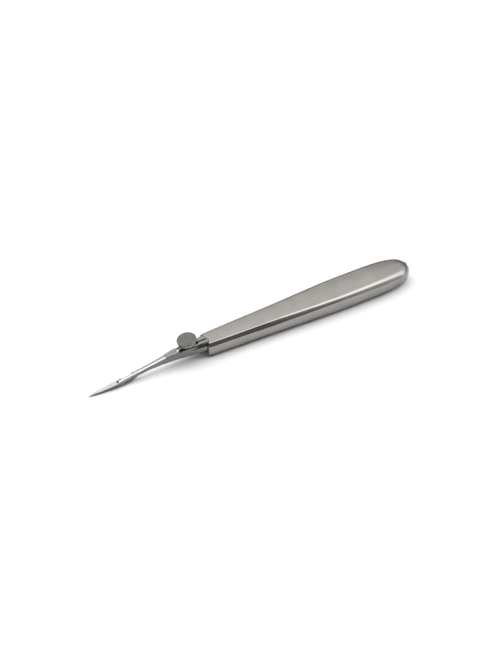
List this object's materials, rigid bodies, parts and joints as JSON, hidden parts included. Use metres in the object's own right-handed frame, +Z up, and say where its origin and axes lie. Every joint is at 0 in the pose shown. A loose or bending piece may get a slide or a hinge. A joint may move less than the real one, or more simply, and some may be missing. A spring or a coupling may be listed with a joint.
{
  "type": "sliding-gate suture needle",
  "caption": "Straight hand-held suture needle with a flat hollow steel handle and a thumb slide whose gate strip opens and closes the thread eye behind the lance point.",
  "frame": {"origin": "on the resting surface, under the middle of the bounding box", "axes": "+X from the needle's point to the butt of the handle, +Y across it, +Z up, out of the face that carries the thumb button"},
  "size_m": [0.18, 0.0184, 0.0133],
  "materials": {
    "satin_steel": "satin, brushed along the handle",
    "polished_steel": "finely polished",
    "bright_steel": "mirror polished",
    "ribbed_steel": "dull satin, ribbed across"
  },
  "bodies": {
    "instrument": {"handle_upper_shell": "satin_steel", "handle_lower_shell": "satin_steel", "front_plug": "satin_steel", "needle_shaft": "polished_steel", "bridge_plate": "polished_steel"},
    "slide": {"gate_strip": "bright_steel", "carriage": "polished_steel", "thumb_button": "ribbed_steel"}
  },
  "joints": [
    {"name": "gate_slide", "type": "slide", "parent": "instrument", "child": "slide", "axis": [0.987, 0, 0.1609], "range_m": [-0.0007, 0.007]}
  ]
}
